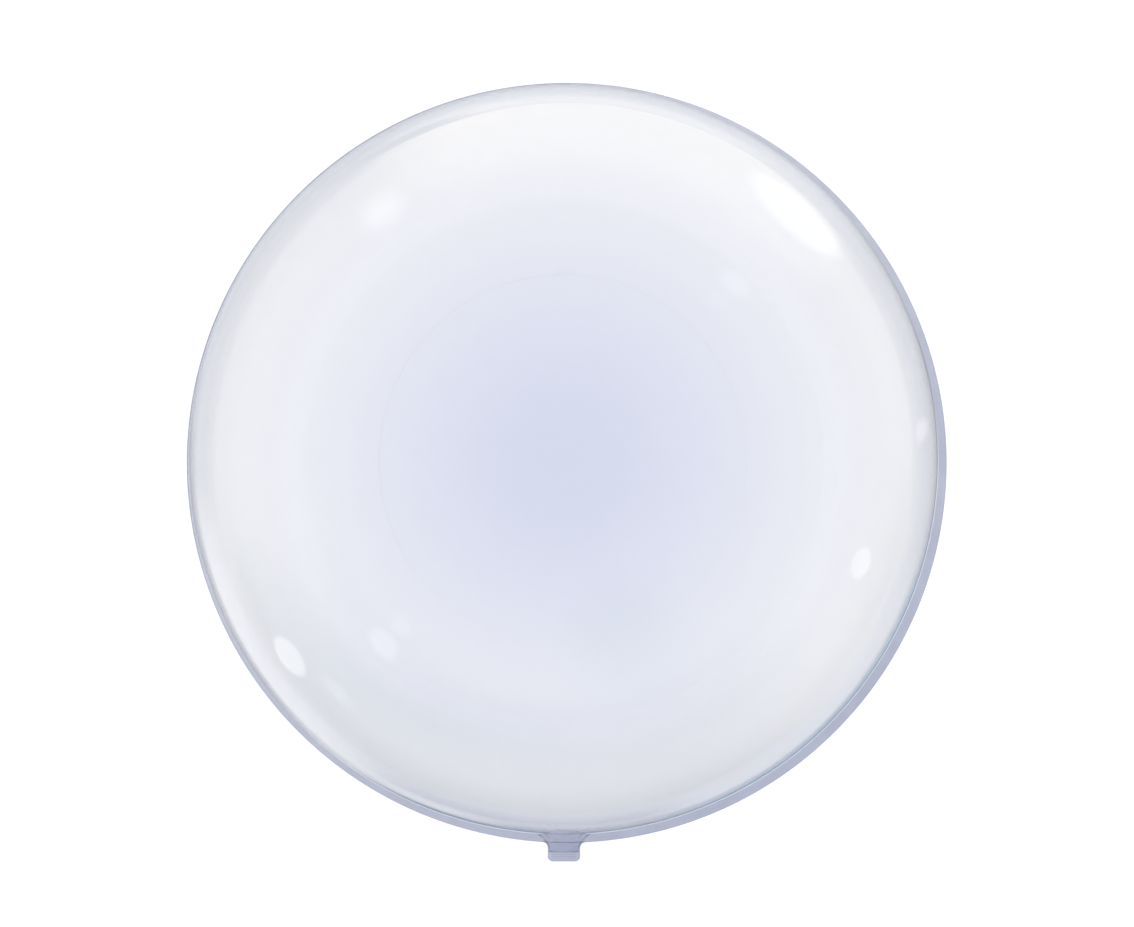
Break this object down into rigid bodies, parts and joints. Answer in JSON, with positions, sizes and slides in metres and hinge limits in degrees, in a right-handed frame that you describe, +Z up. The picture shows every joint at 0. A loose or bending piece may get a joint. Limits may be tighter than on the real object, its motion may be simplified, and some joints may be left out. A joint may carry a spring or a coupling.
{
  "type": "clear bubble balloon",
  "caption": "Round balloon of clear, faintly lavender stretch film, blown up and sealed, with a welded edge all round and a short heat-sealed neck tab, lying at rest.",
  "frame": {"origin": "middle of the small flat spot under the balloon, on the surface it lies on, straight below the ball's centre", "axes": "+Z up, square to the welded edge; -Y towards the sealed neck, which is the bottom of the picture; +X to the picture's right"},
  "size_m": [0.6096, 0.6246, 0.5976],
  "materials": {
    "clear_film": "clear gloss film"
  },
  "bodies": {
    "root": {"balloon_envelope": "clear_film"}
  },
  "joints": []
}
